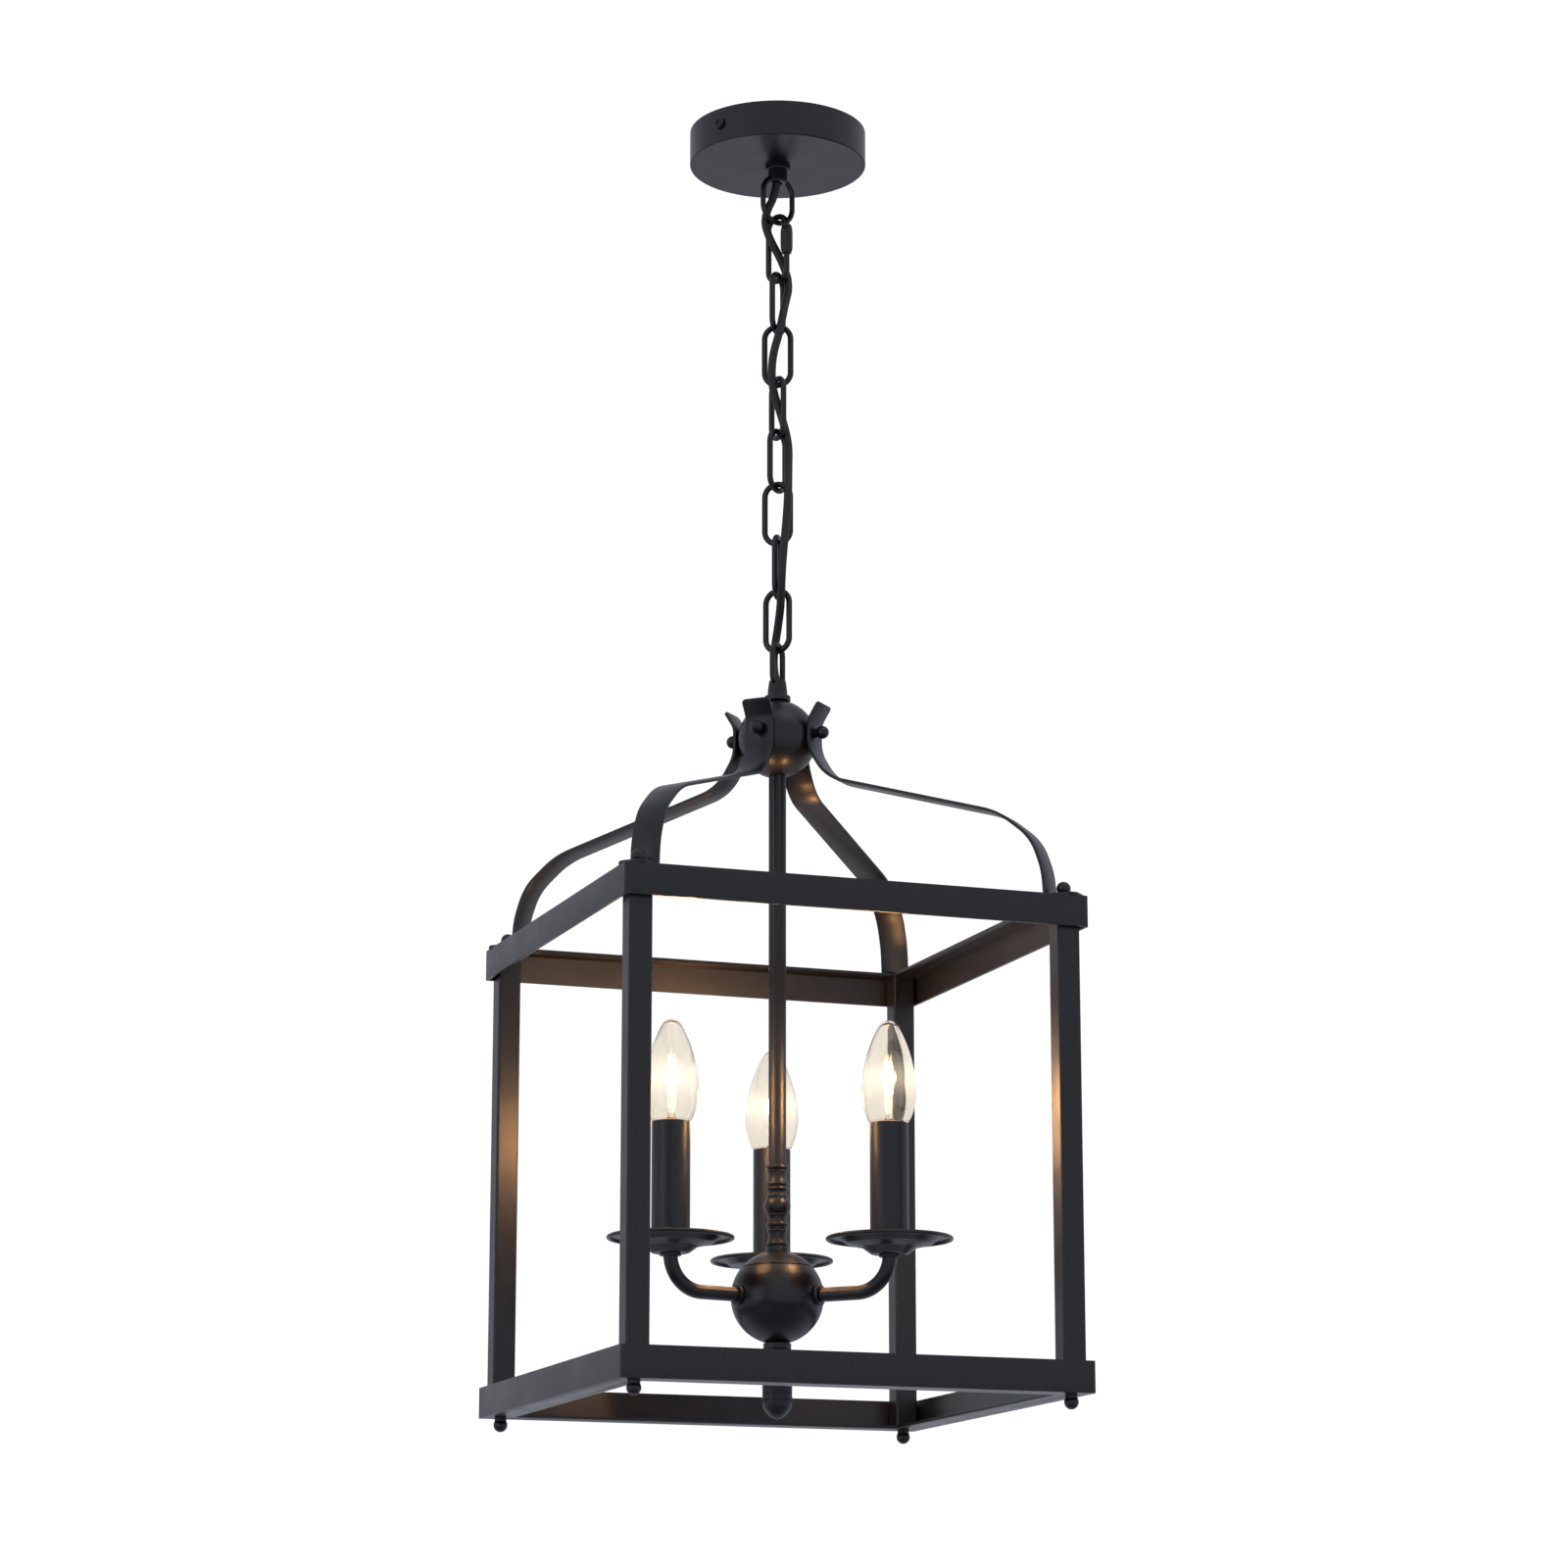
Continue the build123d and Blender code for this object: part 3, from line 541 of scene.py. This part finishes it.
@dataclass
class CandleBulb:
    """Clear candle bulb: blown glass, pressed stem, upright filaments and a screw cap."""

    number: int
    turn: float
    reach: float = mm(80.5)
    tip: float = mm(-623.0)
    wall: float = mm(0.7)
    core: float = mm(-660.0)
    power: float = 0.56
    # painted glow on the glass: peak at the filaments' height, faint floor all over, and how far up and down it
    # reaches
    painted_glow_peak: float = 0.10
    painted_glow_floor: float = 0.012
    painted_glow_reach: float = mm(9.0)

    def centre(self) -> tuple[float, float]:
        """Where the bulb's axis stands."""
        return self.reach * cos(radians(self.turn)), self.reach * sin(radians(self.turn))

    def outline(self) -> Outline:
        """Outer profile of the glass from the tip down."""
        sides = [(4.3, 6.5, 1.06), (42.7, 17.5, 2.82), (18.9, 12.9, 1.2), (1.3, 10.8, 0.2), (3.8, 6.9, 0.0)]
        points = [(0.0, self.tip)]
        for height, radius, bulge in sides:
            start = points[-1]
            points += bulged(start, (mm(radius), start[1] - mm(height)), mm(bulge), 12)
        return points

    def glass(self) -> bpy.types.Object:
        """Blow the glass: outer skin, inner skin and the neck between them."""
        outer = self.outline()
        inner = []
        for number, (radius, height) in enumerate(outer):
            before = Vector(outer[max(number - 1, 0)])
            after = Vector(outer[min(number + 1, len(outer) - 1)])
            along = (after - before).normalized()
            inward = Vector((along.y, -along.x)) * self.wall
            inner.append((max(radius + inward.x, 0.0), height + inward.y))
        inner[0] = (0.0, self.tip - self.wall)
        return spun(f"bulb_{self.number}_glass", outer + inner[::-1], self.centre(), 72)

    def paint_glow_on_glass(self, piece: bpy.types.Object) -> None:
        """Write the painted glow that each spot of the glass emits: faint cream all over, brightest at the filaments'
        height and fading up and down.
        """
        level = piece.data.attributes.new(PAINTED_GLOW_LEVEL, "FLOAT", "POINT")
        values = []
        for vertex in piece.data.vertices:
            away = (vertex.co.z - self.core) / self.painted_glow_reach
            values.append(self.painted_glow_floor + self.painted_glow_peak * exp(-away * away))
        level.data.foreach_set("value", values)

    def stem(self) -> bpy.types.Object:
        """Pressed glass stem that carries the filaments."""
        profile = [(0.0, -672.0), (1.6, -672.4), (2.2, -675.0), (1.9, -680.0), (2.6, -686.0), (4.6, -692.0),
                   (5.4, -693.6), (0.0, -693.6)]
        return spun(f"bulb_{self.number}_stem", [(mm(radius), mm(height)) for radius, height in profile],
                    self.centre(), 32)

    def filaments(self, count: int = 4) -> bpy.types.Object:
        """Upright filament sticks that lean a little outward."""
        x, y = self.centre()
        verts: list[Place] = []
        faces: list[tuple[int, ...]] = []
        sides = 8
        for stick in range(count):
            around = radians(45 + stick * 360 / count + self.turn)
            rows = [(-672.0, 1.7, 0.35), (-670.5, 2.0, 0.6), (-661.0, 2.5, 0.7), (-651.5, 2.0, 0.6),
                    (-650.0, 1.6, 0.35)]
            base = len(verts)
            for height, away, thick in rows:
                for step in range(sides):
                    turn = 2 * pi * step / sides
                    verts.append((x + mm(away * cos(around) + thick * cos(turn)),
                                  y + mm(away * sin(around) + thick * sin(turn)), mm(height)))
            for row in range(len(rows) - 1):
                for step in range(sides):
                    beside = (step + 1) % sides
                    low = base + row * sides
                    faces.append((low + step, low + beside, low + sides + beside, low + sides + step))
            faces.append(tuple(base + step for step in range(sides)))
            faces.append(tuple(base + (len(rows) - 1) * sides + step for step in range(sides)))
        piece = new_piece(f"bulb_{self.number}_filaments", verts, [], faces)
        only(piece)
        bpy.ops.object.mode_set(mode="EDIT")
        bpy.ops.mesh.select_all(action="SELECT")
        bpy.ops.mesh.normals_make_consistent(inside=False)
        bpy.ops.object.mode_set(mode="OBJECT")
        bpy.ops.object.shade_smooth_by_angle(angle=radians(50))
        return piece

    def cap(self) -> bpy.types.Object:
        """Screw cap with rolled threads and its contact."""
        outline = [(0.0, -693.4), (6.7, -693.4), (6.9, -694.4), (6.9, -696.0)]
        for thread in range(7):
            top = -697.0 - thread * 3.0
            outline += [(6.35, top), (6.35, top - 0.7), (6.88, top - 1.5), (6.88, top - 2.2)]
        outline += [(6.2, -718.6), (4.4, -719.4), (2.4, -719.8), (2.4, -720.9), (1.6, -721.6), (0.0, -721.6)]
        return spun(f"bulb_{self.number}_cap", [(mm(radius), mm(height)) for radius, height in outline],
                    self.centre(), 48)

    def light(self) -> bpy.types.Object:
        """Warm light in the middle of the filaments."""
        lamp = bpy.data.lights.new(f"bulb_{self.number}_light", "POINT")
        lamp.energy = self.power
        lamp.color = (1.0, 0.46, 0.16)
        lamp.shadow_soft_size = mm(5.0)
        light = bpy.data.objects.new(lamp.name, lamp)
        light.location = (*self.centre(), self.core)
        bpy.context.scene.collection.objects.link(light)
        return light

    def build(self, paints: dict[str, bpy.types.Material]) -> None:
        """Make the bulb and let it ride on its own body.

        Args:
            paints: The finishes by name.
        """
        body = f"bulb_{self.number}"
        glass = self.glass()
        self.paint_glow_on_glass(glass)
        # the glass finish adds painted glow as emission
        dress(glass, paints["glass"])
        glass.visible_shadow = False
        stem = self.stem()
        dress(stem, paints["glass_plain"])
        stem.visible_shadow = False
        filaments = self.filaments()
        dress(filaments, paints["filament"])
        filaments.visible_shadow = False
        cap = self.cap()
        dress(cap, paints["cap"])
        slots = ((glass, "bulb_glass"), (stem, "bulb_glass"), (filaments, "bulb_cap"), (cap, "bulb_cap"))
        for piece, slot in slots:
            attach(piece, body)
        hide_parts(f"bulb_glass_{self.number}")
        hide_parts(f"bulb_base_{self.number}")
        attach(self.light(), body)
        LOG.info("bulb %d: glass, stem, filaments and cap", self.number)


# ------------------------------------------------------------------ lantern body


@dataclass
class EasedBars:
    """Bars and bands of the cage, whose sharp edges the coat softens."""

    rings: tuple[str, ...] = ("top_ring", "bottom_ring")
    straps: tuple[str, ...] = ("strap_1", "strap_2", "strap_3", "strap_4")
    radius: float = mm(0.45)

    def build(self, coat: bpy.types.Material) -> None:
        """Ease, dress and mount every bar."""
        for node in self.rings + self.straps:
            piece = eased_copy(node, self.radius)
            dress(piece, coat)
            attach(piece, "lantern")
            LOG.info("%s: %d faces", piece.name, len(piece.data.polygons))


@dataclass
class FramePaint:
    """Finishes for the frame's own pieces, by what each is made of."""

    zinc: tuple[str, ...] = ("ceiling_bar", "tab_bar", "canopy_nipple", "nipple_nut", "threaded_pipe",
                             "post_end_plugs")
    plastic: tuple[str, ...] = ("wire_nuts",)
    leads: tuple[str, ...] = ("canopy_leads", "inner_wires")
    holders: tuple[str, ...] = ("lamp_holders",)
    chain: tuple[str, ...] = ("quick_link", "quick_link_sleeve", "canopy_loop", "lantern_loop") + tuple(
        f"chain_link_{number}" for number in range(1, 8))

    def build(self, paints: dict[str, bpy.types.Material]) -> None:
        """Paint every node of the frame.

        Args:
            paints: The finishes by name.
        """
        for name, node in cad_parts.items():
            if name in self.zinc:
                dress(node, paints["zinc"])
            elif name in self.plastic:
                dress(node, paints["connector"])
            elif name in self.leads:
                dress(node, paints["lead"])
            elif name in self.holders:
                dress(node, paints["holder"])
            elif name in self.chain:
                dress(node, paints["chain"])
            elif name.startswith("bulb_glass"):
                dress(node, paints["glass_plain"])
            elif name.startswith("bulb_base"):
                dress(node, paints["cap"])
            elif name == "supply_flex":
                dress(node, paints["flex"])
            else:
                dress(node, paints["coat"])
        LOG.info("painted %d pieces of the frame", len(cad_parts))


# ------------------------------------------------------------------ studio


@dataclass
class Studio:
    """White room with a pale floor, two soft lights and the camera."""

    floor_height: float = -1.75
    camera_place: Place = (-0.9326, -2.5890, -1.1074)
    camera_rise: float = 13.28
    camera_turn: float = -19.9
    lens: float = 98.2
    away: Place = (0.3404, 0.9403, 0.0)
    front: float = 0.64
    back: float = 0.56
    under: float = 0.36
    backdrop: float = 1.05

    def floor(self) -> None:
        """Lay the pale floor."""
        bpy.ops.object.select_all(action="DESELECT")
        bpy.ops.mesh.primitive_plane_add(size=40.0, location=(0.0, 0.0, self.floor_height))
        floor = bpy.context.active_object
        floor.name = "studio_floor"
        paint = bpy.data.materials.new("studio_floor")
        paint.use_nodes = True
        shader = paint.node_tree.nodes["Principled BSDF"]
        shader.inputs["Base Color"].default_value = (0.9, 0.9, 0.9, 1)
        shader.inputs["Roughness"].default_value = 0.9
        shader.inputs["Emission Color"].default_value = (1, 1, 1, 1)
        shader.inputs["Emission Strength"].default_value = 0.25
        dress(floor, paint)
        floor.visible_glossy = False
        floor.visible_diffuse = False

    def world(self) -> None:
        """White background; its light on the lantern is weakest from below the camera."""
        world = bpy.data.worlds.new("white_room")
        bpy.context.scene.world = world
        world.use_nodes = True
        nodes, links = world.node_tree.nodes, world.node_tree.links
        nodes.clear()
        direction = nodes.new("ShaderNodeTexCoord").outputs["Generated"]
        behind = nodes.new("ShaderNodeVectorMath")
        behind.operation = "DOT_PRODUCT"
        behind.inputs[1].default_value = self.away
        links.new(direction, behind.inputs[0])
        depth = self.ramp(nodes, links, behind.outputs["Value"], (-0.15, 0.55), (self.front, self.back))
        split = nodes.new("ShaderNodeSeparateXYZ")
        links.new(direction, split.inputs["Vector"])
        below = self.ramp(nodes, links, split.outputs["Z"], (-0.75, -0.1), (self.under, 1.0))
        below_front = nodes.new("ShaderNodeMapRange")
        below_front.interpolation_type = "SMOOTHSTEP"
        below_front.inputs["From Min"].default_value = -0.1
        below_front.inputs["From Max"].default_value = 0.35
        below_front.inputs["To Max"].default_value = 1.0
        links.new(behind.outputs["Value"], below_front.inputs["Value"])
        links.new(below, below_front.inputs["To Min"])
        strength = nodes.new("ShaderNodeMath")
        strength.operation = "MULTIPLY"
        links.new(depth, strength.inputs[0])
        links.new(below_front.outputs["Result"], strength.inputs[1])
        felt = nodes.new("ShaderNodeBackground")
        felt.inputs["Color"].default_value = (0.88, 0.92, 1.04, 1)
        links.new(strength.outputs["Value"], felt.inputs["Strength"])
        seen = nodes.new("ShaderNodeBackground")
        seen.inputs["Color"].default_value = (1, 1, 1, 1)
        seen.inputs["Strength"].default_value = self.backdrop
        path = nodes.new("ShaderNodeLightPath")
        straight = nodes.new("ShaderNodeMath")
        straight.operation = "MAXIMUM"
        links.new(path.outputs["Is Camera Ray"], straight.inputs[0])
        links.new(path.outputs["Is Transmission Ray"], straight.inputs[1])
        mix = nodes.new("ShaderNodeMixShader")
        output = nodes.new("ShaderNodeOutputWorld")
        links.new(straight.outputs["Value"], mix.inputs["Fac"])
        links.new(felt.outputs["Background"], mix.inputs[1])
        links.new(seen.outputs["Background"], mix.inputs[2])
        links.new(mix.outputs["Shader"], output.inputs["Surface"])

    @staticmethod
    def ramp(nodes: bpy.types.Nodes, links: bpy.types.NodeLinks, value: bpy.types.NodeSocket,
             reach: tuple[float, float], result: tuple[float, float]) -> bpy.types.NodeSocket:
        """Smooth step of a value between two levels.

        Args:
            nodes: The world's nodes.
            links: The world's links.
            value: The value that is stepped.
            reach: Where the step starts and ends.
            result: The levels before and after it.

        Returns:
            The stepped value's socket.
        """
        step = nodes.new("ShaderNodeMapRange")
        step.interpolation_type = "SMOOTHSTEP"
        step.inputs["From Min"].default_value, step.inputs["From Max"].default_value = reach
        step.inputs["To Min"].default_value, step.inputs["To Max"].default_value = result
        links.new(value, step.inputs["Value"])
        return step.outputs["Result"]

    def softbox(self, name: str, place: Place, aim: Place, size: tuple[float, float], power: float) -> None:
        """Hang one soft light.

        Args:
            name: The light's name.
            place: Where it hangs.
            aim: What it looks at.
            size: Its width and height.
            power: Its power in watts.
        """
        lamp = bpy.data.lights.new(name, "AREA")
        lamp.shape = "RECTANGLE"
        lamp.size, lamp.size_y = size
        lamp.energy = power
        light = bpy.data.objects.new(name, lamp)
        light.location = place
        light.rotation_euler = (Vector(aim) - Vector(place)).to_track_quat("-Z", "Y").to_euler()
        bpy.context.scene.collection.objects.link(light)

    def camera(self) -> None:
        """Stand the camera below the lantern's middle, looking up at it."""
        lens = bpy.data.cameras.new("camera")
        lens.lens = self.lens
        lens.sensor_width = 36.0
        camera = bpy.data.objects.new("camera", lens)
        camera.location = self.camera_place
        camera.rotation_euler = (radians(90 + self.camera_rise), 0.0, radians(self.camera_turn))
        bpy.context.scene.collection.objects.link(camera)
        bpy.context.scene.camera = camera

    def build(self) -> None:
        """Set up the whole studio."""
        bpy.context.scene.view_settings.view_transform = "Standard"
        self.floor()
        self.world()
        self.softbox("left_softbox", (-2.6, -0.9, -0.3), (0, 0, -0.5), (0.8, 2.2), 3.0)
        self.softbox("top_softbox", (0.4, -0.8, 1.4), (0, 0, -0.6), (1.2, 1.2), 2.5)
        self.camera()


def main() -> None:
    """Build the lantern's finishes and pieces, then the studio."""
    logging.basicConfig(level=logging.INFO, format="%(name)s: %(message)s")
    Studio().build()
    paints = {
        "coat": SANDY_BLACK.material(),
        "chain": CHAIN_BLACK.material(),
        "flex": FLEX_BLACK.material(),
        "zinc": ZINC.material(),
        "connector": CONNECTOR_ORANGE.material(),
        "lead": LEAD_SLEEVE.material(),
        "holder": HOLDER_CREAM.material(),
        "cap": CAP_NICKEL.material(),
        # bulb glass finish with painted glow
        "glass": BULB_GLASS_WITH_PAINTED_GLOW.material(),
        "glass_plain": STEM_GLASS.material(),
        "filament": FILAMENT.material(),
    }
    SupplyFlex().build(paints["flex"])
    FramePaint().build(paints)
    EasedBars().build(paints["coat"])
    for number, turn in enumerate(BULB_TURNS, start=1):
        CandleBulb(number, turn).build(paints)


if __name__ == "__main__":
    main()
